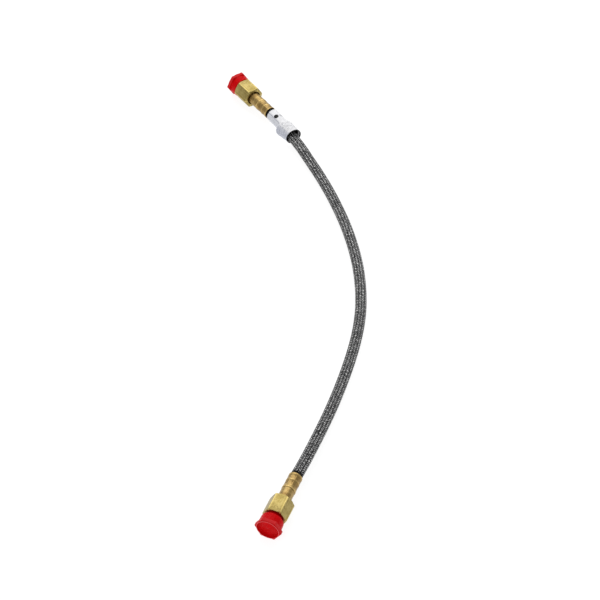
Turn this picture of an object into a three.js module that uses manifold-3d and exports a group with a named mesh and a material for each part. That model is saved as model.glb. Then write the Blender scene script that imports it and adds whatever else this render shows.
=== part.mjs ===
// A 24 inch gas pigtail hose: a stainless-braided tube between two brass flare fittings. Each end has an
// insert, a crimped ferrule, a hexagonal swivel nut and a red shipping plug, and the far end wears a loose
// marker sleeve. Millimetres, +Z up. The hose lies in an arc on the plane z = 0, its ends at -Y and +Y.
import * as THREE from "three";
import { mergeVertices } from "three/addons/utils/BufferGeometryUtils.js";
import Module from "manifold-3d";

const wasm = await Module();
wasm.setup();

// ---- driving dimensions ----
const NUT_FLATS = 19.05; // 3/4 inch spanner size of a 3/8 inch flare nut
const NUT_LENGTH = 19;
const NUT_CORNER = 11.05; // radius that turns the hexagon's corners down
const NUT_REAR = { radius: 8.9, length: 1.3 }; // chamfers at the nut's two ends
const NUT_FRONT = { radius: 9.7, length: 1 };
const THREAD_RADIUS = 7.2; // minor radius of the 5/8-18 thread
const NECK_RADIUS = 6.35; // bore of the nut behind its seat
const SEAT_START = 5.6; // from the nut's rear face to its 45 degree seat
const STEM_RADIUS = 5.95;
const GAS_RADIUS = 2; // bore through the insert
const FERRULE_START = -28; // ferrule mouth, measured from the nut's rear face
const FERRULE_END = -11.3;
const HOSE_START = -15.5; // where the hose butts against the insert
const GAP = 0.3; // between pieces that touch

const PLUG_FLATS = 20.9;
const PLUG_CORNER = 11.9; // radius that rounds the plug's corners
const PLUG_TIP = 30.6; // outer end of the plug, from the nut's rear face
const PLUG_BODY = 10.1;
const PLUG_SHANK = 6.9;
const FLANGE_START = 26.9;
const FLANGE_END = 30;
const DISH_RADIUS = 9.6;
const DISH_FLOOR = 28.1;

const BRAID_RADIUS = 5.25;
const BRAID_WALL = 0.55;
const YARN_RADIUS = 4.6;
const YARN_WALL = 0.35;
const TUBE_RADIUS = 4.15;
const TUBE_BORE = 3.175; // quarter inch gas way
const HOSE_SIDES = 12;
const HOSE_STEPS = 26;

const SLEEVE_START = 3.4; // along the hose, from the far ferrule's mouth
const NECK_LENGTH = 20;
const SKIRT_LENGTH = 17;
const SLEEVE_WALL = 0.65;
const NECK_OUTER = 6.4;
const SKIRT_WIDE = 9;
const SKIRT_NARROW = 7.85;
const EDGE_LENGTH = 1.1;
const MOUTH_SKEW = { side: 1, up: 0.65 }; // how far the skirt's mouth hangs off the hose's line

const ROUND = 24; // sides of a turned piece

// The two ends: the middle of each nut's rear face, the way it points in plan, the turn of its plug, and
// how far that plug stands out of the nut.
const ENDS = {
  near: { at: [1.2, -256.7, 10.8], heading: -116, plugTurn: -3, plugOut: 2.4 },
  far: { at: [3.9, 259.2, 10.5], heading: 122, plugTurn: 0, plugOut: 0 },
};

// The hose's centreline from the far ferrule's mouth to the near one's.
const ROUTE = [
  [18.8, 235.4, 10.5],
  [28.4, 219, 10.2],
  [37.2, 202.2, 9.2],
  [45.5, 185.1, 8],
  [52.7, 167.6, 6.6],
  [59.7, 149.9, 5.6],
  [65.8, 132, 5.3],
  [71.2, 113.8, 5.3],
  [75.9, 95.4, 5.3],
  [80, 76.9, 5.3],
  [83.2, 58.2, 5.3],
  [85.6, 39.5, 5.3],
  [87.1, 20.5, 5.3],
  [87.4, 1.6, 5.3],
  [86.7, -17.4, 5.3],
  [84.8, -36.3, 5.3],
  [81.6, -55, 5.3],
  [77.2, -73.5, 5.3],
  [71.9, -91.6, 5.3],
  [65.9, -109.6, 5.3],
  [59.4, -127.4, 5.3],
  [52.6, -145, 5.7],
  [45.5, -162.6, 6.8],
  [38.1, -180.1, 8.3],
  [30.4, -197.4, 9.6],
  [22.3, -214.6, 10.4],
  [13.6, -231.5, 10.8],
];

// ---- materials ----
const paint = (colour, roughness, metalness) =>
  new THREE.MeshStandardMaterial({ color: colour, roughness, metalness });
const brass = paint(0xc8ac66, 0.35, 1);
const yellowBrass = paint(0xc2b474, 0.4, 1);
const redPlastic = paint(0xcc0a14, 0.45, 0);
const steelBraid = paint(0x77777a, 0.5, 0.9);
const textile = paint(0xd8d4c8, 0.9, 0);
const blackRubber = paint(0x1a1a1c, 0.8, 0);
const whitePlastic = paint(0xeceef2, 0.4, 0);

// ---- solids ----
function toSolid(geometry) {
  const bare = geometry.clone();
  bare.deleteAttribute("normal");
  bare.deleteAttribute("uv");
  const merged = mergeVertices(bare, 1e-4);
  return new wasm.Manifold(
    new wasm.Mesh({
      numProp: 3,
      vertProperties: merged.attributes.position.array,
      triVerts: new Uint32Array(merged.index.array),
    }),
  );
}

function toGeometry(solid) {
  const mesh = solid.getMesh();
  const geometry = new THREE.BufferGeometry()
    .setAttribute("position", new THREE.BufferAttribute(mesh.vertProperties, 3))
    .setIndex(new THREE.BufferAttribute(mesh.triVerts, 1));
  geometry.computeVertexNormals();
  return geometry;
}

// A turned piece about +Y from pairs of radius and distance along the fitting.
function turned(profile) {
  const points = profile.map(([r, along]) => new THREE.Vector2(r, along));
  return new THREE.LatheGeometry(points, ROUND);
}

// A turned ring: its profile closes on itself.
const turnedRing = (profile) => turned([...profile, profile[0]]);

// A hexagonal bar along +Y, two of its flats facing up and down.
function hexagon(flats, start, end) {
  const corner = flats / Math.sqrt(3);
  const shape = new THREE.Shape();
  for (let i = 0; i < 6; i++) {
    const angle = (i * Math.PI) / 3;
    const x = corner * Math.cos(angle);
    const y = corner * Math.sin(angle);
    if (i) shape.lineTo(x, y);
    else shape.moveTo(x, y);
  }
  shape.closePath();
  const bar = new THREE.ExtrudeGeometry(shape, { depth: end - start, bevelEnabled: false });
  return bar.rotateX(-Math.PI / 2).translate(0, start, 0);
}

function piece(name, geometry, material) {
  const mesh = new THREE.Mesh(geometry, material);
  mesh.name = name;
  return mesh;
}

// ---- the fitting: distances run outwards from the nut's rear face ----
function swivelNut() {
  const envelope = turned([
    [0, 0],
    [NUT_REAR.radius, 0],
    [NUT_CORNER, NUT_REAR.length],
    [NUT_CORNER, NUT_LENGTH - NUT_FRONT.length],
    [NUT_FRONT.radius, NUT_LENGTH],
    [0, NUT_LENGTH],
  ]);
  const bore = turned([
    [0, -1],
    [NECK_RADIUS + 0.5, -1],
    [NECK_RADIUS + 0.5, 0],
    [NECK_RADIUS, 0.5],
    [NECK_RADIUS, SEAT_START],
    [THREAD_RADIUS, SEAT_START + THREAD_RADIUS - NECK_RADIUS],
    [THREAD_RADIUS, NUT_LENGTH - 0.9],
    [THREAD_RADIUS + 0.9, NUT_LENGTH],
    [THREAD_RADIUS + 0.9, NUT_LENGTH + 1],
    [0, NUT_LENGTH + 1],
  ]);
  const body = toSolid(hexagon(NUT_FLATS, 0, NUT_LENGTH)).intersect(toSolid(envelope));
  return toGeometry(body.subtract(toSolid(bore)));
}

// One turned piece: a barbed tail for the hose, a groove for the ferrule, a stem, and a 45 degree flare.
function insert() {
  const tail = 2.8;
  const root = 2.45;
  const flare = STEM_RADIUS + 1;
  const flareStart = SEAT_START - 0.05;
  const face = flareStart + 2;
  const mouth = 6.5;
  const shoulder = HOSE_START + GAP;
  const groove = { start: FERRULE_END - 2.4, end: FERRULE_END + GAP, radius: 4.2 };
  return turnedRing([
    [GAS_RADIUS, FERRULE_START + 1],
    [root, FERRULE_START + 1],
    [tail, FERRULE_START + 4],
    [root, FERRULE_START + 4],
    [tail, FERRULE_START + 7],
    [root, FERRULE_START + 7],
    [root, shoulder],
    [5.2, shoulder],
    [5.2, groove.start],
    [groove.radius, groove.start],
    [groove.radius, groove.end],
    [STEM_RADIUS, groove.end],
    [STEM_RADIUS, flareStart],
    [flare, flareStart + 1],
    [flare, face],
    [mouth, face],
    [GAS_RADIUS, face - (mouth - GAS_RADIUS)],
  ]);
}

// The ferrule's lip sits in the insert's groove, and two crimped bands grip the hose.
function ferrule() {
  const inside = BRAID_RADIUS + 0.25;
  const crimped = 5.8;
  const full = 6.05;
  const lip = 4.5;
  const lipStart = FERRULE_END - 2.1;
  return turnedRing([
    [inside + 0.15, FERRULE_START],
    [full, FERRULE_START + 0.3],
    [full, FERRULE_START + 1.6],
    [crimped, FERRULE_START + 2.1],
    [crimped, FERRULE_START + 6.4],
    [full, FERRULE_START + 6.9],
    [full, FERRULE_START + 7.9],
    [crimped, FERRULE_START + 8.4],
    [crimped, FERRULE_START + 12.7],
    [full, FERRULE_START + 13.4],
    [full + 0.2, FERRULE_START + 14.6],
    [full + 0.2, FERRULE_END - 0.5],
    [full, FERRULE_END],
    [lip, FERRULE_END],
    [lip, lipStart],
    [inside, lipStart],
    [inside, FERRULE_START + 0.5],
  ]);
}

// A moulded plug: a shank in the nut's mouth, a round body, a hexagonal flange and a dished end.
function plug({ plugTurn, plugOut }) {
  const start = NUT_LENGTH + GAP;
  const body = turned([
    [0, 10.5],
    [PLUG_SHANK - 0.7, 10.5],
    [PLUG_SHANK, 11.4],
    [PLUG_SHANK, start],
    [PLUG_BODY - 0.6, start],
    [PLUG_BODY - 0.2, start + 0.5],
    [PLUG_BODY, FLANGE_START],
    [PLUG_BODY + 0.2, FLANGE_END],
    [PLUG_BODY + 0.1, PLUG_TIP],
    [0, PLUG_TIP],
  ]);
  const corners = turned([
    [0, FLANGE_START - 1],
    [PLUG_CORNER, FLANGE_START - 1],
    [PLUG_CORNER, FLANGE_END - 0.5],
    [PLUG_CORNER - 0.5, FLANGE_END],
    [0, FLANGE_END],
  ]);
  const dish = turned([
    [0, DISH_FLOOR],
    [DISH_RADIUS - 0.3, DISH_FLOOR + 0.2],
    [DISH_RADIUS, PLUG_TIP - 0.3],
    [DISH_RADIUS + 0.2, PLUG_TIP + 0.1],
    [DISH_RADIUS + 0.2, PLUG_TIP + 1],
    [0, PLUG_TIP + 1],
  ]);
  const bar = hexagon(PLUG_FLATS, FLANGE_START, FLANGE_END).rotateY(THREE.MathUtils.degToRad(plugTurn));
  const flange = toSolid(bar).intersect(toSolid(corners));
  return toGeometry(toSolid(body).add(flange).subtract(toSolid(dish))).translate(0, plugOut, 0);
}

function fitting(side, end) {
  const group = new THREE.Group();
  group.position.set(...end.at);
  group.rotation.z = THREE.MathUtils.degToRad(end.heading - 90);
  group.add(
    piece(side + "_insert", insert(), brass),
    piece(side + "_ferrule", ferrule(), brass),
    piece(side + "_swivel_nut", swivelNut(), yellowBrass),
    piece(side + "_shipping_plug", plug(end), redPlastic),
  );
  group.updateMatrixWorld(true);
  return group;
}

// ---- the hose ----
// The whole centreline: the hand-laid route, carried on into each ferrule as far as the insert's shoulder.
function centreline() {
  const inside = (end) => {
    const heading = THREE.MathUtils.degToRad(end.heading);
    const out = new THREE.Vector3(Math.cos(heading), Math.sin(heading), 0);
    const at = new THREE.Vector3(...end.at);
    return [HOSE_START, (HOSE_START + FERRULE_START) / 2].map((d) => at.clone().addScaledVector(out, d));
  };
  const points = [
    ...inside(ENDS.far),
    ...ROUTE.map((p) => new THREE.Vector3(...p)),
    ...inside(ENDS.near).reverse(),
  ];
  return new THREE.CatmullRomCurve3(points, false, "centripetal");
}

// A regular outline of the hose's sides, so that its layers' facets lie parallel.
function outline(target, radius) {
  for (let i = 0; i < HOSE_SIDES; i++) {
    const angle = (2 * Math.PI * i) / HOSE_SIDES;
    const x = radius * Math.cos(angle);
    const y = radius * Math.sin(angle);
    if (i) target.lineTo(x, y);
    else target.moveTo(x, y);
  }
  target.closePath();
  return target;
}

function layer(path, outer, inner) {
  const section = outline(new THREE.Shape(), outer);
  section.holes.push(outline(new THREE.Path(), inner));
  return new THREE.ExtrudeGeometry(section, { steps: HOSE_STEPS, extrudePath: path, bevelEnabled: false });
}

// ---- the marker sleeve ----
// A round tube through stations that each hold a centre, a direction and the two radii.
function sleeveTube(stations) {
  const up = new THREE.Vector3(0, 0, 1);
  const ring = ({ centre, along }, radius) => {
    const across = new THREE.Vector3().crossVectors(along, up).normalize();
    const over = new THREE.Vector3().crossVectors(across, along);
    return Array.from({ length: ROUND }, (_, i) => {
      const angle = (2 * Math.PI * i) / ROUND;
      return centre
        .clone()
        .addScaledVector(across, radius * Math.cos(angle))
        .addScaledVector(over, radius * Math.sin(angle));
    });
  };
  const rings = [
    ...stations.map((s) => ring(s, s.outer)),
    ...[...stations].reverse().map((s) => ring(s, s.inner)),
  ];
  const index = [];
  rings.forEach((_, j) => {
    const next = (j + 1) % rings.length;
    for (let i = 0; i < ROUND; i++) {
      const k = (i + 1) % ROUND;
      const [a, b, c, d] = [j * ROUND + i, j * ROUND + k, next * ROUND + k, next * ROUND + i];
      index.push(a, c, b, a, d, c);
    }
  });
  const geometry = new THREE.BufferGeometry().setFromPoints(rings.flat());
  geometry.setIndex(index);
  geometry.computeVertexNormals();
  return geometry;
}

// The sleeve follows the hose closely along its neck. Its wider skirt hangs askew, its mouth off centre.
function sleeveStations(path) {
  const mouth = HOSE_START - FERRULE_START;
  const length = path.getLength();
  const on = (s, share = 0) => {
    const u = (mouth + s) / length;
    const along = path.getTangentAt(u);
    const side = new THREE.Vector3(-along.y, along.x, 0).normalize();
    const centre = path.getPointAt(u).addScaledVector(side, MOUTH_SKEW.side * share);
    centre.z += MOUTH_SKEW.up * share;
    return { centre, along };
  };
  const neckEnd = SLEEVE_START + NECK_LENGTH;
  const skirtStart = neckEnd + 1.2;
  const skirtEnd = neckEnd + SKIRT_LENGTH;
  const tube = (place, outer) => ({ ...place, outer, inner: outer - SLEEVE_WALL });
  const startSkew = -0.6;
  const neck = [0, 0.5, 1].map((k) => tube(on(SLEEVE_START + k * NECK_LENGTH), NECK_OUTER));
  const skirt = [0, 0.5, 1].map((k) =>
    tube(
      on(skirtStart + k * (skirtEnd - skirtStart), startSkew + k * (1 - startSkew)),
      SKIRT_WIDE + k * (SKIRT_NARROW - SKIRT_WIDE),
    ),
  );
  const edge = [GAP, GAP + EDGE_LENGTH].map((d) => ({
    ...on(skirtEnd + d, 1),
    outer: SKIRT_NARROW + 0.1,
    inner: SKIRT_NARROW - SLEEVE_WALL - 0.1,
  }));
  return { sleeve: [...neck, ...skirt], edge };
}

// ---- assembly ----
const hose = new THREE.Group();
hose.add(fitting("near", ENDS.near), fitting("far", ENDS.far));

const path = centreline();
hose.add(
  piece("steel_braid", layer(path, BRAID_RADIUS, BRAID_RADIUS - BRAID_WALL), steelBraid),
  piece("yarn_layer", layer(path, YARN_RADIUS, YARN_RADIUS - YARN_WALL), textile),
  piece("inner_tube", layer(path, TUBE_RADIUS, TUBE_BORE), blackRubber),
);

const marker = sleeveStations(path);
hose.add(
  piece("marker_sleeve", sleeveTube(marker.sleeve), whitePlastic),
  piece("marker_sleeve_edge", sleeveTube(marker.edge), blackRubber),
);

export default hose;
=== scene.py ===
"""The looks of a braided gas hose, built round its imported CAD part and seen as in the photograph."""

import math
import bpy
import numpy as np
from mathutils import Euler, Matrix, Vector


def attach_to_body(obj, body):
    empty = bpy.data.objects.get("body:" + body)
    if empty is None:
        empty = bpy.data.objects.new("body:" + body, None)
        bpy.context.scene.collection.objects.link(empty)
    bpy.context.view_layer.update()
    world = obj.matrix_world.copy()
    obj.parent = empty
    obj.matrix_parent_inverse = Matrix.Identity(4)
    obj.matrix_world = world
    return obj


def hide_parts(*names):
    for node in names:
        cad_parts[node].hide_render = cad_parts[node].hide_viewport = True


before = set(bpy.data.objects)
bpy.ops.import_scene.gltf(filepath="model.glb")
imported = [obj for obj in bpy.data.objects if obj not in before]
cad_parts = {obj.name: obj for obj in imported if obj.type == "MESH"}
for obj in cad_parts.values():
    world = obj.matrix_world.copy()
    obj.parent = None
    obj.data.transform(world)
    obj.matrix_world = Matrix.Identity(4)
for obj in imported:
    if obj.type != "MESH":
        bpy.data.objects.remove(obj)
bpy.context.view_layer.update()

MM = 0.001
TURN = 2 * math.pi

# ---- camera ----
CAMERA_AT = (-0.0598, -1.3823, 1.395)
CAMERA_PITCH = 44.5  # from straight down
CAMERA_HEADING = -3.819
LENS = 129

camera = bpy.data.objects.new("camera", bpy.data.cameras.new("camera"))
camera.data.lens = LENS
camera.data.sensor_width = 36
camera.location = CAMERA_AT
camera.rotation_euler = Euler((math.radians(CAMERA_PITCH), 0, math.radians(CAMERA_HEADING)))
bpy.context.scene.collection.objects.link(camera)
bpy.context.scene.camera = camera

# ---- the part's dimensions: millimetres, along a fitting from its nut's rear face ----
ENDS = {
    "near": {"at": (1.2, -256.7, 10.8), "heading": -116, "plug_turn": -3, "plug_out": 2.4},
    "far": {"at": (3.9, 259.2, 10.5), "heading": 122, "plug_turn": 0, "plug_out": 0},
}
HOSE_START = -15.5
FERRULE_START = -28  # its mouth
FERRULE_END = -11.3

# The hose's centreline in metres, from the far ferrule's mouth to the near one's, as in the CAD part.
ROUTE = [
    (0.0188, 0.2354, 0.0105),
    (0.0284, 0.219, 0.0102),
    (0.0372, 0.2022, 0.0092),
    (0.0455, 0.1851, 0.008),
    (0.0527, 0.1676, 0.0066),
    (0.0597, 0.1499, 0.0056),
    (0.0658, 0.132, 0.0053),
    (0.0712, 0.1138, 0.0053),
    (0.0759, 0.0954, 0.0053),
    (0.08, 0.0769, 0.0053),
    (0.0832, 0.0582, 0.0053),
    (0.0856, 0.0395, 0.0053),
    (0.0871, 0.0205, 0.0053),
    (0.0874, 0.0016, 0.0053),
    (0.0867, -0.0174, 0.0053),
    (0.0848, -0.0363, 0.0053),
    (0.0816, -0.055, 0.0053),
    (0.0772, -0.0735, 0.0053),
    (0.0719, -0.0916, 0.0053),
    (0.0659, -0.1096, 0.0053),
    (0.0594, -0.1274, 0.0053),
    (0.0526, -0.145, 0.0057),
    (0.0455, -0.1626, 0.0068),
    (0.0381, -0.1801, 0.0083),
    (0.0304, -0.1974, 0.0096),
    (0.0223, -0.2146, 0.0104),
    (0.0136, -0.2315, 0.0108),
]
HOSE_DIAMETER = 10.5


# ---- the hose's line ----
def catmull_rom(points, steps=24):
    """The centripetal curve that the CAD part uses, so that every piece lies where its solid does."""
    ends = np.vstack([2 * points[0] - points[1], points, 2 * points[-1] - points[-2]])
    out = []
    for a, b, c, d in zip(ends, ends[1:], ends[2:], ends[3:]):
        ab, bc, cd = (math.sqrt(np.linalg.norm(q - p)) for p, q in ((a, b), (b, c), (c, d)))
        leave = ((b - a) / ab - (c - a) / (ab + bc) + (c - b) / bc) * bc
        reach = ((c - b) / bc - (d - b) / (bc + cd) + (d - c) / cd) * bc
        u = np.linspace(0, 1, steps, endpoint=False)[:, None]
        square = 3 * (c - b) - 2 * leave - reach
        cube = 2 * (b - c) + leave + reach
        out.append(b + u * leave + u**2 * square + u**3 * cube)
    return np.vstack([*out, points[-1:]])


class Path:
    """A smooth line in millimetres. Its frame doesn't twist along it, and starts with its normal up."""

    def __init__(self, points):
        self.points = points
        step = np.linalg.norm(np.diff(points, axis=0), axis=1)
        self.s = np.concatenate([[0], np.cumsum(step)])
        self.length = self.s[-1]
        tangent = np.gradient(points, self.s, axis=0)
        tangent /= np.linalg.norm(tangent, axis=1, keepdims=True)
        normal = np.array([0.0, 0.0, 1.0])
        normals = []
        for t in tangent:
            normal = normal - t * (normal @ t)
            normal /= np.linalg.norm(normal)
            normals.append(normal)
        self.tangent = tangent
        self.normal = np.array(normals)
        self.side = np.cross(tangent, self.normal)

    def place(self, s, angle, radius, shift=(0, 0)):
        """Points at distance s along the line, at an angle from up. shift moves them sideways and up."""
        s, angle, radius = np.broadcast_arrays(s, angle, radius)
        columns = np.hstack([self.points, self.normal, self.side])
        found = np.stack([np.interp(s, self.s, c) for c in columns.T], axis=-1)
        point, normal, side = found[..., :3], found[..., 3:6], found[..., 6:]
        up = radius * np.cos(angle) + shift[1]
        across = radius * np.sin(angle) + shift[0]
        return point + up[..., None] * normal + across[..., None] * side


def inside_ferrule(end):
    """The hose's end inside a ferrule, and a point half way from there to the ferrule's mouth."""
    heading = math.radians(end["heading"])
    out = np.array([math.cos(heading), math.sin(heading), 0])
    return [np.array(end["at"]) + out * d for d in (HOSE_START, (HOSE_START + FERRULE_START) / 2)]


far_part = inside_ferrule(ENDS["far"])
near_part = inside_ferrule(ENDS["near"])[::-1]
hose_path = Path(catmull_rom(np.array([*far_part, *(np.array(ROUTE) / MM), *near_part])))
MOUTH = HOSE_START - FERRULE_START  # from the hose's end to the ferrule's mouth, along it


# ---- meshes ----
def grid_faces(rows, columns, loop):
    """Quads over a grid whose columns close round. The rows close too if loop is true."""
    j, i = np.meshgrid(np.arange(rows if loop else rows - 1), np.arange(columns), indexing="ij")
    down, right = (j + 1) % rows, (i + 1) % columns
    quads = [j * columns + i, j * columns + right, down * columns + right, down * columns + i]
    return np.stack(quads, axis=-1).reshape(-1, 4).tolist()


def make(name, points, faces, material, place=None, crease=30):
    """An object from points in millimetres."""
    mesh = bpy.data.meshes.new(name)
    mesh.from_pydata((np.asarray(points).reshape(-1, 3) * MM).tolist(), [], faces)
    mesh.polygons.foreach_set("use_smooth", [True] * len(mesh.polygons))
    if crease:
        mesh.set_sharp_from_angle(angle=math.radians(crease))
    mesh.materials.append(material)
    made = bpy.data.objects.new(name, mesh)
    bpy.context.scene.collection.objects.link(made)
    if place is not None:
        made.matrix_world = place
    return made


def attach(made, name, value):
    """Gives each point of a mesh a number for its material."""
    data = made.data.attributes.new(name, "FLOAT", "POINT").data
    data.foreach_set("value", np.ascontiguousarray(value, np.float32).ravel())


def rounded(profile, radius, steps=3):
    """A closed profile with its corners rounded, each by at most the radius."""
    points = np.array(profile, float)
    count = len(points)
    out = []
    for k in range(count):
        before, here, after = points[k - 1], points[k], points[(k + 1) % count]
        back, on = before - here, after - here
        reach = min(radius, 0.45 * np.linalg.norm(back), 0.45 * np.linalg.norm(on))
        start = here + back / np.linalg.norm(back) * reach
        end = here + on / np.linalg.norm(on) * reach
        for u in np.linspace(0, 1, steps + 1):
            out.append((1 - u) ** 2 * start + 2 * u * (1 - u) * here + u**2 * end)
    return [tuple(p) for p in out]


def turned(name, rows, angle, material, place, loop=True, crease=30, edge=None):
    """A piece round local +Y. Each row is a radius and a distance, each a number or one value per angle.

    The rows close into a ring if loop is true, and otherwise the first and last row are capped.
    edge gives each point a number for its material, from 1, painted lighter as a highlight, to -1, darker.
    """
    radius = np.array([np.broadcast_to(r, angle.shape) for r, _ in rows])
    along = np.array([np.broadcast_to(y, angle.shape) for _, y in rows])
    points = np.stack([radius * np.sin(angle), along, radius * np.cos(angle)], axis=-1)
    faces = grid_faces(len(rows), len(angle), loop)
    if not loop:
        last = (len(rows) - 1) * len(angle)
        faces.append(list(range(len(angle)))[::-1])
        faces.append([last + i for i in range(len(angle))])
    made = make(name, points, faces, material, place, crease)
    if edge is not None:
        attach(made, "edge", np.broadcast_to(edge, radius.shape))
    return made


def even(count):
    """Angles spaced evenly round a circle."""
    return np.linspace(0, TURN, count, endpoint=False)


HALF_SIDE = TURN / 12  # half the angle that a hexagon's side spans


def hexagon_corner(flats, corner):
    """How far a rounded corner's centre is from the axis, and half the angle that its arc spans."""
    middle = (flats / 2 - corner) / math.cos(HALF_SIDE)
    return middle, math.atan2(corner / 2, middle + corner * math.cos(HALF_SIDE))


def hexagon(angle, flats, corner):
    """The radius of a hexagon with a flat at angle 0, its corners rounded to that radius."""
    from_flat = (angle + HALF_SIDE) % (2 * HALF_SIDE) - HALF_SIDE
    from_corner = HALF_SIDE - np.abs(from_flat)
    middle, turn_in = hexagon_corner(flats, corner)
    flat = flats / 2 / np.cos(from_flat)
    inner = np.maximum(corner**2 - (middle * np.sin(from_corner)) ** 2, 0)
    arc = middle * np.cos(from_corner) + np.sqrt(inner)
    return np.where(from_corner < turn_in, arc, flat)


def hexagon_angles(flats, corner, across=12, round_corner=4):
    """Angles for a hexagon with a flat at angle 0: some across each flat, and some round each corner."""
    _, turn_in = hexagon_corner(flats, corner)
    flat = np.linspace(-HALF_SIDE + turn_in, HALF_SIDE - turn_in, across)
    bend = np.linspace(-turn_in, turn_in, round_corner + 2)[1:-1] + HALF_SIDE
    side = np.concatenate([flat, bend])
    return np.concatenate([side + k * 2 * HALF_SIDE for k in range(6)])


# ---- materials ----
NECK_OUTER = 6.4  # the marker sleeve's radius at its neck
# Marks on the sleeve, a printed black dot and a soft grey spot: distance from the ferrule's mouth, degrees
# from up, radius, soft rim; colour.
MARKS = [
    ((13.2, 16, 2.3, 0.15), (0.001, 0.001, 0.001)),
    ((13.8, -31, 0.4, 2.4), (0.42, 0.42, 0.44)),
]


class Look:
    """A material with one Principled shader, and short ways to add nodes to it."""

    def __init__(self, name, **sockets):
        self.material = bpy.data.materials.new(name)
        self.material.use_nodes = True
        self.tree = self.material.node_tree
        self.shader = self.tree.nodes["Principled BSDF"]
        for socket, value in sockets.items():
            self.shader.inputs[socket.replace("_", " ")].default_value = value
        self.where = self.tree.nodes.new("ShaderNodeTexCoord").outputs["Object"]

    def node(self, kind, inputs=(), **settings):
        made = self.tree.nodes.new("ShaderNode" + kind)
        for setting, value in settings.items():
            setattr(made, setting, value)
        for socket, value in dict(inputs).items():
            if isinstance(value, bpy.types.NodeSocket):
                self.tree.links.new(value, made.inputs[socket])
            else:
                made.inputs[socket].default_value = value
        return made

    def scaled(self, scale, vector=None):
        """Coordinates stretched by three factors."""
        inputs = {"Vector": vector or self.where, "Scale": scale}
        return self.node("Mapping", inputs).outputs["Vector"]

    def noise(self, scale, detail=3, roughness=0.55, vector=None):
        inputs = {
            "Vector": vector or self.where,
            "Scale": scale,
            "Detail": detail,
            "Roughness": roughness,
        }
        return self.node("TexNoise", inputs).outputs["Fac"]

    def math(self, operation, *values):
        """One operation on sockets or numbers."""
        return self.node("Math", dict(enumerate(values)), operation=operation).outputs[0]

    def ramp(self, fac, *stops):
        """A colour ramp through (position, colour) stops."""
        made = self.node("ValToRGB", {"Fac": fac})
        ramp = made.color_ramp
        while len(ramp.elements) < len(stops):
            ramp.elements.new(0.5)
        for element, (position, colour) in zip(ramp.elements, stops):
            element.position = position
            element.color = (*colour, 1)
        return made.outputs["Color"]

    def mix(self, fac, a, b):
        """Colour a where the factor is 0, and b where it is 1."""
        a, b = ((*c, 1) if isinstance(c, tuple) else c for c in (a, b))
        return self.node("Mix", {0: fac, 6: a, 7: b}, data_type="RGBA").outputs[2]

    def span(self, fac, low, high, to_low=0, to_high=1):
        """Maps low and high to two other values, and holds the result between them."""
        inputs = {"Value": fac, "From Min": low, "From Max": high, "To Min": to_low, "To Max": to_high}
        return self.node("MapRange", inputs).outputs["Result"]

    def attribute(self, name):
        """A number that the mesh holds at each point."""
        return self.node("Attribute", attribute_name=name).outputs["Fac"]

    def bump(self, height, distance, strength=1.0, under=None):
        inputs = {"Height": height, "Distance": distance, "Strength": strength}
        if under is not None:
            inputs["Normal"] = under
        return self.node("Bump", inputs).outputs["Normal"]

    def drive(self, socket, value):
        """Links a node's output to the shader."""
        self.tree.links.new(value, self.shader.inputs[socket])


def brass(name, pale, dark, stain, streak, rough):
    """Worked brass: tone varies softly, streaks run the way it was drawn or turned, and stains darken it.

    Where its edge value is above 0 it is painted lighter, a painted highlight along the nut's corners and on
    the ferrule's bead and full rings; where the value is below 0, on the ferrule's pressed bands, it is
    darker.
    """
    look = Look(name, Metallic=1.0)
    lines = look.noise(1.0, 3, vector=look.scaled(streak))
    soft = look.noise(150, 4)
    tone = look.math("ADD", look.math("MULTIPLY", soft, 0.5), look.math("MULTIPLY", lines, 0.5))
    colour = look.ramp(tone, (0.41, dark), (0.57, pale))
    marks = look.noise(330, 5, 0.7)
    colour = look.mix(look.span(marks, 0.54, 0.68, 0, 0.75), colour, stain)
    edge_tone = look.attribute("edge")
    # Darker where the edge value is below 0, on the ferrule's pressed bands.
    colour = look.mix(look.span(edge_tone, -1, 0, 0.8, 0), colour, stain)
    # Painted highlight: lighter where the edge value is above 0.
    bright = tuple(1.45 * c for c in pale)
    colour = look.mix(look.span(edge_tone, 0.1, 1, 0, 0.8), colour, bright)
    look.drive("Base Color", colour)
    along_lines, in_stains = look.span(lines, 0.3, 0.7, -0.06, 0.06), look.span(marks, 0.5, 0.75, 0, 0.12)
    spread = look.math("ADD", along_lines, in_stains)
    look.drive("Roughness", look.math("ADD", spread, rough))
    fine = look.bump(lines, 0.00006, 0.8)
    look.drive("Normal", look.bump(look.noise(900, 3), 0.00004, 0.6, fine))
    return look.material


def red_plastic():
    """Moulded red plastic: faint streaks along it, a fine grain, and a painted highlight, paler red, where
    its edge value is high.
    """
    look = Look("red_polyethylene", Specular_IOR_Level=0.05)
    tone = look.noise(160, 3)
    colour = look.ramp(tone, (0.3, (0.53, 0.0, 0.001)), (0.7, (0.64, 0.0, 0.003)))
    # Painted highlight: paler red where the edge value is high.
    look.drive("Base Color", look.mix(look.attribute("edge"), colour, (0.95, 0.2, 0.21)))
    streaks = look.noise(1.0, 3, 0.6, look.scaled((700, 30, 700)))
    grain = look.noise(1500, 2)
    on_streaks, on_grain = look.span(streaks, 0.3, 0.7, 0.3, 0.44), look.span(grain, 0.3, 0.7, 0, 0.06)
    look.drive("Roughness", look.math("ADD", on_streaks, on_grain))
    look.drive("Normal", look.bump(grain, 0.00002, 0.6, look.bump(streaks, 0.0001, 0.6)))
    return look.material


BRAID_SHADE = (0.007, 0.007, 0.008)


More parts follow.
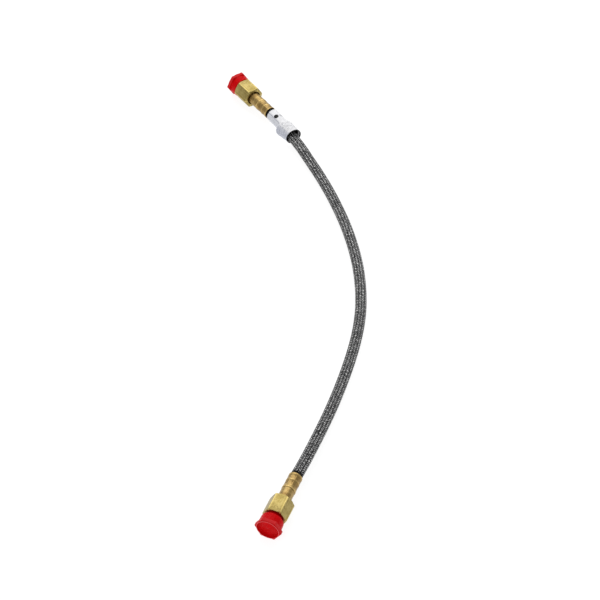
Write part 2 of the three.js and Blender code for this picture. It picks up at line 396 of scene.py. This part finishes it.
def steel_braid():
    """Stainless wires: each strand has its own tone and its wires stand out. Painted shade darkens the gaps
    between wires and between strands, the strands that pass under, and the braid beside each ferrule's mouth.
    """
    look = Look("stainless_wire", Metallic=1.0)
    across, strand, unshaded = (look.attribute(name) for name in ("across", "strand", "unshaded"))
    patch = look.noise(760, 3, 0.65)
    tone = look.math("ADD", look.math("MULTIPLY", strand, 0.1), look.math("MULTIPLY", patch, 0.9))
    dark, middle, bright = (0.1, 0.1, 0.102), (0.38, 0.38, 0.383), (0.97, 0.97, 0.96)
    colour = look.ramp(tone, (0.37, dark), (0.52, middle), (0.63, bright))
    # Painted shade where a strand passes under another, and beside each ferrule's mouth.
    colour = look.mix(look.span(unshaded, 0.3, 1.0, 0.985, 0), colour, BRAID_SHADE)
    # Painted shade along each strand's edges, in the gaps between strands.
    edge = look.math("ABSOLUTE", across)
    colour = look.mix(look.span(edge, 0.55, 0.85, 0, 0.97), colour, BRAID_SHADE)
    # Painted shade in the grooves between a strand's wires; the same waves also make its bump.
    wires = look.math("ABSOLUTE", look.math("SINE", look.math("MULTIPLY", across, 2.5 * math.pi)))
    colour = look.mix(look.span(wires, 0.0, 0.4, 0.5, 0), colour, BRAID_SHADE)
    look.drive("Base Color", colour)
    look.drive("Roughness", look.span(look.noise(800, 3), 0.3, 0.7, 0.28, 0.45))
    look.drive("Normal", look.bump(wires, 0.00012, 1.0))
    return look.material


def yarn():
    """Dark braided yarn, of which a little shows between the strands of wire."""
    look = Look("polyester_yarn", Roughness=0.9, Sheen_Weight=0.3)
    weave = look.node("TexVoronoi", {"Vector": look.where, "Scale": 900}).outputs["Distance"]
    look.drive("Base Color", look.ramp(weave, (0.0, (0.05, 0.05, 0.05)), (0.8, (0.16, 0.155, 0.145))))
    look.drive("Normal", look.bump(weave, 0.0002, 0.8))
    return look.material


def black_rubber(name, tone, roughness, shine):
    """Rubber of one dark tone, a little uneven."""
    look = Look(name, Specular_IOR_Level=shine)
    soft = look.noise(300, 4)
    look.drive("Base Color", look.ramp(soft, (0.3, (tone * 0.7,) * 3), (0.7, (tone, tone, tone * 1.06))))
    look.drive("Roughness", look.span(soft, 0.3, 0.7, roughness, roughness + 0.15))
    look.drive("Normal", look.bump(look.noise(1400, 3), 0.00004, 0.6))
    return look.material


def white_sleeve():
    """White plastic with painted shade: greyer on its lower side, darker in its creases, a dark line along
    the lap and darker deep inside its mouth; and marks.
    """
    look = Look("white_sleeve", Specular_IOR_Level=0.22, Subsurface_Weight=0.06, Subsurface_Scale=0.002)
    look.shader.inputs["Subsurface Radius"].default_value = (1, 1, 1)
    shade = look.noise(110, 4, 0.6)
    # A lit copy and a shaded copy of the white: the grey one is painted shade on the sleeve's lower side.
    unshaded = look.ramp(shade, (0.3, (0.82, 0.82, 0.84)), (0.65, (0.9, 0.9, 0.92)))
    grey = look.ramp(shade, (0.3, (0.42, 0.44, 0.51)), (0.65, (0.56, 0.58, 0.65)))
    colour = look.mix(look.attribute("grey"), unshaded, grey)
    mottling = look.noise(380, 4, 0.65)
    # Painted shade in the creases, patchy.
    crease_shade = look.math("MULTIPLY", look.span(mottling, 0.5, 0.7, 0.1, 0.9), look.attribute("crease"))
    colour = look.mix(crease_shade, colour, (0.3, 0.31, 0.36))
    # Painted shadow along the lap's step.
    colour = look.mix(look.attribute("seam"), colour, (0.27, 0.28, 0.35))
    # Painted shade deep inside the mouth.
    colour = look.mix(look.attribute("inside_shade"), colour, (0.012, 0.012, 0.012))
    for (s, angle, radius, soft), tone in MARKS:
        centre = hose_path.place(MOUTH + s, math.radians(angle), NECK_OUTER) * MM
        ends = {0: look.where, 1: tuple(centre)}
        away = look.node("VectorMath", ends, operation="DISTANCE").outputs["Value"]
        inside = look.span(away, radius * MM, (radius + soft) * MM, 1, 0)
        colour = look.mix(inside, colour, tone)
    look.drive("Base Color", colour)
    look.drive("Roughness", look.span(mottling, 0.3, 0.7, 0.34, 0.5))
    look.drive("Normal", look.bump(look.noise(240, 4), 0.0002, 0.4))
    return look.material


NUT_BRASS = brass(
    "drawn_brass",
    pale=(0.43, 0.34, 0.125),
    dark=(0.28, 0.21, 0.062),
    stain=(0.2, 0.13, 0.04),
    streak=(650, 16, 650),
    rough=0.36,
)
TURNED_BRASS = brass(
    "turned_brass",
    pale=(0.47, 0.335, 0.13),
    dark=(0.26, 0.16, 0.05),
    stain=(0.21, 0.12, 0.042),
    streak=(20, 1600, 20),
    rough=0.38,
)
RED = red_plastic()
STEEL = steel_braid()
YARN = yarn()
LINER = black_rubber("nitrile_liner", 0.03, 0.5, 0.35)
EDGE = black_rubber("black_edge", 0.004, 0.5, 0.05)
WHITE = white_sleeve()


# ---- the end fittings ----
NUT = {"flats": 19.05, "length": 19, "corner": 0.35}
NUT_CORNER = 11.05  # the radius that its chamfers are cut from
NUT_REAR = (8.9, 1.3)  # radius and length of a chamfer
NUT_FRONT = (9.7, 1.0)
THREAD_RADIUS = 7.2
THREAD_PITCH = 25.4 / 18
THREAD_DEPTH = 0.62
NECK_RADIUS = 6.35
SEAT_START = 5.6  # where the flare's seat starts, inside the nut
EASE = 0.12  # half the width of the rounding along a nut's chamfers


def swivel_nut(name, place):
    """A hexagon nut with chamfered ends, a neck at its rear, a seat for the flare and a cut thread."""
    angle = hexagon_angles(NUT["flats"], NUT["corner"])
    bar = hexagon(angle, NUT["flats"], NUT["corner"])
    rear_radius, rear_length = NUT_REAR
    front_radius, front_length = NUT_FRONT
    end = NUT["length"]
    rear = (bar - rear_radius) * rear_length / (NUT_CORNER - rear_radius)
    front = end - front_length + (NUT_CORNER - bar) * front_length / (NUT_CORNER - front_radius)
    front = np.minimum(front, end - EASE)
    rim = np.minimum(bar - 0.06, front_radius)
    outside = [
        (NECK_RADIUS + 0.95, 0),
        (rear_radius - 0.2, 0),
        (rear_radius + 0.03, 0.06),
        (bar - 0.14, rear - EASE * 0.6),
        (bar - 0.03, rear + 0.02),
        (bar, rear + EASE),
        (bar, front - EASE),
        (bar - 0.03, front),
        (rim, end - 0.04),
        (rim - 0.15, end),
        (THREAD_RADIUS + 1.05, end),
    ]
    top, bottom = end - 0.9, SEAT_START + THREAD_RADIUS - NECK_RADIUS
    # A 60 degree groove with a narrow flat at its bottom, which fades out at both ends of the thread.
    thread = []
    for y in np.arange(top, bottom, -THREAD_PITCH / 8):
        phase = (y / THREAD_PITCH - angle / TURN) % 1
        groove = np.clip(1.25 - np.abs(phase - 0.5) * 4, 0, 1)
        fade = min(1, (top - y) / 0.5, (y - bottom) / 0.8)
        thread.append((THREAD_RADIUS + THREAD_DEPTH * groove * fade, y))
    inside = [
        (THREAD_RADIUS + 0.85, end - 0.12),
        *thread,
        (THREAD_RADIUS, bottom),
        (NECK_RADIUS, SEAT_START),
        (NECK_RADIUS + 0.05, 1.9),
        (NECK_RADIUS + 0.6, 0.5),
        (NECK_RADIUS + 0.82, 0.06),
    ]
    # A painted highlight along its rounded corners.
    corner = np.where(bar > NUT["flats"] / 2 / math.cos(HALF_SIDE) - 0.4, 1.0, 0.0)
    return turned(name, outside + inside, angle, NUT_BRASS, place, crease=28, edge=corner)


def insert(name, place):
    """The stem: a barbed tail in the hose, a groove for the ferrule's lip, and a flare in the nut."""
    gas, root, tail = 2, 2.45, 2.8
    shoulder, groove, stem = 5.2, 4.2, 5.95
    flare, mouth = stem + 1, 6.5
    tail_start, shoulder_start = FERRULE_START + 1, HOSE_START + 0.3
    groove_start, groove_end = FERRULE_END - 2.4, FERRULE_END + 0.03
    flare_start = SEAT_START - 0.05
    face = flare_start + 2
    profile = [
        (gas, tail_start),
        (root, tail_start),
        (tail, tail_start + 3),
        (root, tail_start + 3),
        (tail, tail_start + 6),
        (root, tail_start + 6),
        (root, shoulder_start),
        (shoulder, shoulder_start),
        (shoulder, groove_start),
        (groove, groove_start),
        (groove, groove_end),
        (stem, groove_end),
        (stem, flare_start),
        (flare, flare_start + 1),
        (flare, face),
        (mouth, face),
        (gas, face - (mouth - gas)),
    ]
    return turned(name, rounded(profile, 0.2), even(72), TURNED_BRASS, place)


JAWS = 8  # of the crimping die
JAW_RIDGE = 0.2  # how far metal stands up between two jaws
JAW_RIDGE_WIDTH = math.radians(4)
BEAD = 0.22  # height of the ring round a ferrule's end


def ferrule(name, place):
    """A crimped ferrule: two pressed bands with a full ring between them, and a bead near its end. Its bead
    and full rings carry a painted highlight, and its pressed bands are darker.
    """
    angle = even(144)
    inside, full, crimped, lip = 5.42, 6.05, 5.8, 4.5
    lip_start = FERRULE_END - 2.1
    from_jaw = ((angle / TURN * JAWS) % 1 - 0.5) * TURN / JAWS
    ridge = JAW_RIDGE * np.exp(-((from_jaw / JAW_RIDGE_WIDTH) ** 2))
    press = crimped - 0.05 * np.cos(from_jaw * JAWS) + ridge
    rows = [
        (inside + 0.1, FERRULE_START + 0.05),
        (full - 0.2, FERRULE_START),
        (full, FERRULE_START + 0.2),
        (full, FERRULE_START + 1.7),
        (full - 0.08, FERRULE_START + 1.95),
        (press, FERRULE_START + 2.3),
        (press, FERRULE_START + 6.2),
        (full - 0.08, FERRULE_START + 6.6),
        (full, FERRULE_START + 6.9),
        (full, FERRULE_START + 7.9),
        (full - 0.08, FERRULE_START + 8.2),
        (press, FERRULE_START + 8.6),
        (press, FERRULE_START + 12.5),
        (full - 0.05, FERRULE_START + 13.1),
        (full, FERRULE_START + 13.4),
        (full + 0.03, FERRULE_END - 1.9),
        (full + 0.16, FERRULE_END - 1.6),
        (full + BEAD, FERRULE_END - 1.2),
        (full + BEAD, FERRULE_END - 0.6),
        (full + 0.15, FERRULE_END - 0.2),
        (full, FERRULE_END - 0.02),
        (lip, FERRULE_END),
        (lip, lip_start),
        (inside + 0.05, lip_start),
        (inside + 0.05, FERRULE_START + 0.5),
    ]
    # Tones for the material: pressed bands darker; full rings and the bead a painted highlight.
    pressed_band, plain, full_ring, bright = -0.45, 0, 0.4, 0.9
    edge_tone = []
    for radius, _ in rows:
        if radius is press:
            edge_tone.append(pressed_band)
        elif radius > full + 0.1:
            edge_tone.append(bright)
        else:
            edge_tone.append(full_ring if radius == full else plain)
    return turned(name, rows, angle, TURNED_BRASS, place, edge=np.array(edge_tone)[:, None])


PLUG = {"flats": 20.9, "corner": 0.9, "body": 10.1, "shank": 6.9, "flange": (26.9, 30), "tip": 30.6}
PLUG_START = 10.5  # the shank's end, inside the nut
PLUG_RIBS = 24  # faint ones along its wall
PLUG_RIB_HEIGHT = 0.07
DISH_RADIUS = 9.6
DISH_FLOOR = 28.1


def plug(name, place, end):
    """A closed plug: its shank in the nut, a ribbed body, a hexagon flange, and a dish with a gate mark."""
    turn = math.radians(end["plug_turn"])
    around = hexagon_angles(PLUG["flats"], PLUG["corner"], 17, 5)
    bar = hexagon(around, PLUG["flats"], PLUG["corner"])
    angle = around + turn
    body, shank, tip = PLUG["body"], PLUG["shank"], PLUG["tip"]
    flange_start, flange_end = PLUG["flange"]
    start = NUT["length"] + 0.3
    ribbed = body - 0.2 + PLUG_RIB_HEIGHT * np.cos(PLUG_RIBS * around)
    rows = [
        (shank - 2.6, PLUG_START),
        (shank - 0.75, PLUG_START),
        (shank - 0.2, PLUG_START + 0.4),
        (shank, PLUG_START + 1),
        (shank, start - 0.02),
        (body - 0.85, start),
        (body - 0.45, start + 0.15),
        (body - 0.25, start + 0.5),
        (ribbed, start + 1.1),
        (ribbed + 0.15, flange_start - 0.8),
        (body - 0.02, flange_start - 0.3),
        (body + 0.1, flange_start - 0.1),
        (body + 0.15, flange_start),
        (bar - 0.2, flange_start),
        (bar - 0.06, flange_start + 0.09),
        (bar, flange_start + 0.3),
        (bar, flange_end - 0.45),
        (bar - 0.07, flange_end - 0.13),
        (bar - 0.2, flange_end),
        (body + 0.13, flange_end + 0.02),
        (body + 0.1, flange_end + 0.12),
        (body + 0.08, tip - 0.18),
        (body - 0.02, tip - 0.04),
        (body - 0.16, tip),
        (DISH_RADIUS + 0.2, tip - 0.02),
        (DISH_RADIUS + 0.05, tip - 0.18),
        (DISH_RADIUS, tip - 0.6),
        (DISH_RADIUS - 0.2, DISH_FLOOR + 0.55),
        (DISH_RADIUS - 0.75, DISH_FLOOR + 0.12),
        (DISH_RADIUS - 1.8, DISH_FLOOR),
        (2.6, DISH_FLOOR - 0.02),
        (2.3, DISH_FLOOR + 0.12),
        (1.1, DISH_FLOOR + 0.16),
    ]
    # A painted highlight along the rim, and fainter on the flange.
    rim_highlight = [0.75 * (y > tip - 0.1) + 0.1 * (np.mean(r) > body + 0.5) for r, y in rows]
    rows = [(r, y + end["plug_out"]) for r, y in rows]
    return turned(name, rows, angle, RED, place, loop=False, edge=np.array(rim_highlight)[:, None])


def fitting(side):
    """All the pieces of one end, each on its own body."""
    end = ENDS[side]
    place = Matrix.Translation([x * MM for x in end["at"]])
    place @= Matrix.Rotation(math.radians(end["heading"] - 90), 4, "Z")
    pieces = [
        (insert(side + "_hose_tail", place), "hose", side + "_insert", "turned_brass"),
        (ferrule(side + "_crimped_ferrule", place), "hose", side + "_ferrule", "turned_brass"),
        (swivel_nut(side + "_hexagon_nut", place), side + "_nut", side + "_swivel_nut", "nut_brass"),
        (plug(side + "_red_plug", place, end), side + "_plug", side + "_shipping_plug", "red_plug"),
    ]
    for piece, body, node, slot in pieces:
        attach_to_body(piece, body)
        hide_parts(node)


# ---- the hose ----
BRAID_RADIUS = HOSE_DIAMETER / 2
YARN_RADII = (4.85, 4.25)  # outer and inner
TUBE_RADII = (4.15, 3.175)
CARRIERS = 12  # strands of each hand
LAY_LENGTH = 25  # along the hose for one turn of a strand
WEAVE = 0.15  # how far a strand rises and falls
STRAND_WIDTH = 1.5
STRAND_THICK = 0.36
WEAVE_SQUARENESS = 1.4  # above 1, a strand stays level where it is highest and lowest
PER_TURN = 80  # sections of a strand
BRAID_SHADE_REACH = 3  # how far the painted shade reaches from a ferrule's mouth


def strands(name, hand, material):
    """Twelve flat strands that wind one way. Each passes over two that wind the other way, then under two."""
    count = int(hose_path.length / LAY_LENGTH * PER_TURN)
    s = np.linspace(0.5, hose_path.length - 0.5, count)[None, :, None]
    carrier = np.arange(CARRIERS)[:, None, None]
    middle = BRAID_RADIUS - WEAVE - STRAND_THICK / 2
    slope = math.atan2(TURN * middle, LAY_LENGTH)
    turn = TURN * s / LAY_LENGTH
    crossing = 2 * carrier + hand * 2 * CARRIERS * s / LAY_LENGTH
    rise = np.clip(WEAVE_SQUARENESS * hand * np.cos(TURN / 4 * (crossing - 0.5)), -1, 1)
    # Section corners: distance across the strand and height over its middle.
    half, thick = STRAND_WIDTH / 2, STRAND_THICK / 2
    across = np.array([-half, -half * 0.7, 0, half * 0.7, half])
    height = np.array([-thick, thick * 0.4, thick, thick * 0.4, -thick])
    radius = middle + WEAVE * rise + height
    angle = hand * turn + TURN * carrier / CARRIERS + across * math.cos(slope) / middle
    points = hose_path.place(s - hand * across * math.sin(slope), angle, radius)
    corners = len(across)
    faces = []
    for k in range(CARRIERS):
        start = k * count * corners
        faces += (np.array(grid_faces(count, corners, False)) + start).tolist()
        faces.append([start + i for i in range(corners)][::-1])
        faces.append([start + (count - 1) * corners + i for i in range(corners)])
    made = make(name, points, faces, material, crease=50)
    tone = np.random.default_rng(5 + hand).uniform(0, 1, CARRIERS)[:, None, None]
    # Painted shade: a strand is darker where it passes under, and darker still beside each ferrule's mouth.
    from_ferrule = np.minimum(s, hose_path.length - s) - MOUTH
    unshaded = rise - 1.1 * np.exp(-((from_ferrule / BRAID_SHADE_REACH) ** 2))
    for attribute, value in (("across", across / half), ("strand", tone), ("unshaded", unshaded)):
        attach(made, attribute, np.broadcast_to(value, points.shape[:3]))
    return made


def hose_tube(name, outer, inner, material):
    """A plain layer of the hose, round and open at both ends."""
    angle = even(40)
    s = np.linspace(0, hose_path.length, 200)[:, None]
    rows = np.concatenate([hose_path.place(s, angle, outer), hose_path.place(s[::-1], angle, inner)])
    return make(name, rows, grid_faces(len(rows), len(angle), True), material, crease=40)


# ---- the marker sleeve ----
SLEEVE_START = MOUTH + 3.4
NECK_LENGTH = 20
SKIRT_LENGTH = 17
SLEEVE_WALL = 0.65
SKIRT_WIDE = 9
SKIRT_NARROW = 7.85
SKIRT_STEP = 1.2  # the length of the step from the neck out to the skirt
SKIRT_HANG = (-1.0, 0.65)  # how far the skirt's mouth hangs off the hose's line, sideways and up
SKEW_START = -0.6  # the same where the skirt starts, as a share of that
SEAM_ANGLE = math.radians(40)
SEAM_STEP = 0.28
WRINKLES = [(0.16, 4, 3.1, 0.3), (0.13, 7, -5.2, 1.1), (0.1, 9, 8.5, 2.0)]  # depth, round, along, start
EDGE_WIDE = 0.7  # of the black ring round the skirt's mouth
EDGE_LONG = 1.3


def sleeve(name):
    """A wrapped tube: its lap makes a step along the neck. Its skirt is wider, creased and off-centre."""
    past_seam = even(120)
    angle = past_seam + SEAM_ANGLE
    lap = past_seam / TURN * SEAM_STEP
    neck_end = SLEEVE_START + NECK_LENGTH
    skirt_start, skirt_end = neck_end + SKIRT_STEP, neck_end + SKIRT_LENGTH
    plain = np.zeros_like(angle)
    stations = []
    for u in np.linspace(0, 1, 24):
        stations.append((SLEEVE_START + u * NECK_LENGTH, NECK_OUTER - SEAM_STEP + lap, 0, plain))
    for u in np.linspace(0, 1, 64):
        wave = sum(d * np.sin(n * angle + w * TURN * u + start) for d, n, w, start in WRINKLES)
        wave *= min(1, 6 * u, 6 * (1 - u))
        lip = 0.3 * max(0, 1 - u * 16) ** 2
        radius = SKIRT_WIDE + u * (SKIRT_NARROW - SKIRT_WIDE) + wave - 0.1 - lip
        skew = SKEW_START + u * (1 - SKEW_START)
        stations.append((skirt_start + u * (skirt_end - skirt_start), radius, skew, wave))
    rows = []
    for s, radius, skew, _ in stations:
        rows.append(hose_path.place(s, angle, radius, np.array(SKIRT_HANG) * skew))
    for s, radius, skew, _ in stations[::-1]:
        rows.append(hose_path.place(s, angle, radius - SLEEVE_WALL, np.array(SKIRT_HANG) * skew))
    made = make(name, rows, grid_faces(len(rows), len(angle), True), WHITE, crease=35)
    paint_sleeve(made, past_seam, stations)
    return made


def paint_sleeve(made, past_seam, stations):
    """Where the sleeve's material paints shade: in its creases, along its lap, on its lower side and deep
    inside its mouth.
    """
    along = np.array([station[0] for station in stations])[:, None]
    waves = np.array([station[3] for station in stations])
    neck_end = SLEEVE_START + NECK_LENGTH
    depth = sum(d for d, *_ in WRINKLES)
    line = np.exp(-((np.minimum(past_seam, TURN - past_seam) / math.radians(6)) ** 2))
    # The painted shade on the lower side, greatest at 90 degrees from up.
    below = np.clip(1.3 - np.abs(past_seam - math.radians(50)) / math.radians(70), 0, 1)
    from_mouth = neck_end + SKIRT_LENGTH - along[::-1]
    none = np.zeros_like(waves)
    # Each list holds the outside from neck to mouth, then the inside from mouth to neck.
    attach(made, "crease", np.concatenate([np.clip(-1.5 * waves / depth, 0, 1), none]))
    attach(made, "seam", np.concatenate([0.6 * line * (along < neck_end - 1), none]))
    attach(made, "grey", np.concatenate([below * np.where(along < neck_end, 0.6, 1), none]))
    attach(made, "inside_shade", np.concatenate([none, np.clip((from_mouth - 1.2) / 2.5, 0, 1) + none]))


def sleeve_edge(name):
    """The black ring round the skirt's mouth."""
    angle = even(96)
    start = SLEEVE_START + NECK_LENGTH + SKIRT_LENGTH + 0.05
    wide, end = SKIRT_NARROW + 0.1, start + EDGE_LONG
    narrow = wide - EDGE_WIDE
    profile = rounded([(narrow, start), (wide, start), (wide, end), (narrow, end)], 0.2)
    rows = np.array([hose_path.place(s, angle, r, SKIRT_HANG) for r, s in profile])
    return make(name, rows, grid_faces(len(rows), len(angle), True), EDGE, crease=40)


right_lay = strands("braid_right_lay", 1, STEEL)
left_lay = strands("braid_left_lay", -1, STEEL)
core = hose_tube("yarn_core", *YARN_RADII, YARN)
liner = hose_tube("gas_liner", *TUBE_RADII, LINER)
marker = sleeve("sleeve_body")
marker_edge = sleeve_edge("sleeve_edge")

for piece, node, slot in (
    (right_lay, "steel_braid", "steel_braid"),
    (left_lay, "steel_braid", "steel_braid"),
    (core, "yarn_layer", "yarn"),
    (liner, "inner_tube", "black_rubber"),
    (marker, "marker_sleeve", "white_sleeve"),
    (marker_edge, "marker_sleeve_edge", "black_edge"),
):
    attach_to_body(piece, "hose")
    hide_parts(node)

fitting("near")
fitting("far")


# ---- floor and light ----
FLOOR_REACH = 40000  # far enough that most low views show no horizon
FLOOR_GLOW = 0.88  # makes the floor as white as paper under the soft light


def floor():
    """A plain pale floor."""
    look = Look("pale_floor", Roughness=0.85, Specular_IOR_Level=0.2)
    tone = look.noise(3, 2)
    look.drive("Base Color", look.ramp(tone, (0.3, (0.2, 0.2, 0.2)), (0.7, (0.22, 0.22, 0.22))))
    look.shader.inputs["Emission Color"].default_value = (1, 1, 1, 1)
    look.shader.inputs["Emission Strength"].default_value = FLOOR_GLOW
    corners = [(x * FLOOR_REACH, y * FLOOR_REACH, 0) for x, y in ((-1, -1), (1, -1), (1, 1), (-1, 1))]
    made = make("floor", corners, [[0, 1, 2, 3]], look.material, crease=None)


def softbox(name, size, power, at):
    """A rectangular light of that size in metres, which faces the middle of the floor."""
    light = bpy.data.lights.new(name, "AREA")
    light.shape = "RECTANGLE"
    light.size, light.size_y = size
    light.energy = power
    made = bpy.data.objects.new(name, light)
    made.location = at
    made.rotation_euler = (-Vector(at)).to_track_quat("-Z", "Y").to_euler()
    bpy.context.scene.collection.objects.link(made)


floor()
softbox("key", (2.4, 1.6), power=21, at=(0.15, 1.3, 1.4))
softbox("fill", (1.4, 1.4), power=5, at=(-1.2, -1.0, 1.3))

world = bpy.data.worlds.new("studio")
world.use_nodes = True
background = world.node_tree.nodes["Background"]
background.inputs["Color"].default_value = (1, 1, 1, 1)
background.inputs["Strength"].default_value = 0.55
bpy.context.scene.world = world
bpy.context.scene.view_settings.view_transform = "Standard"
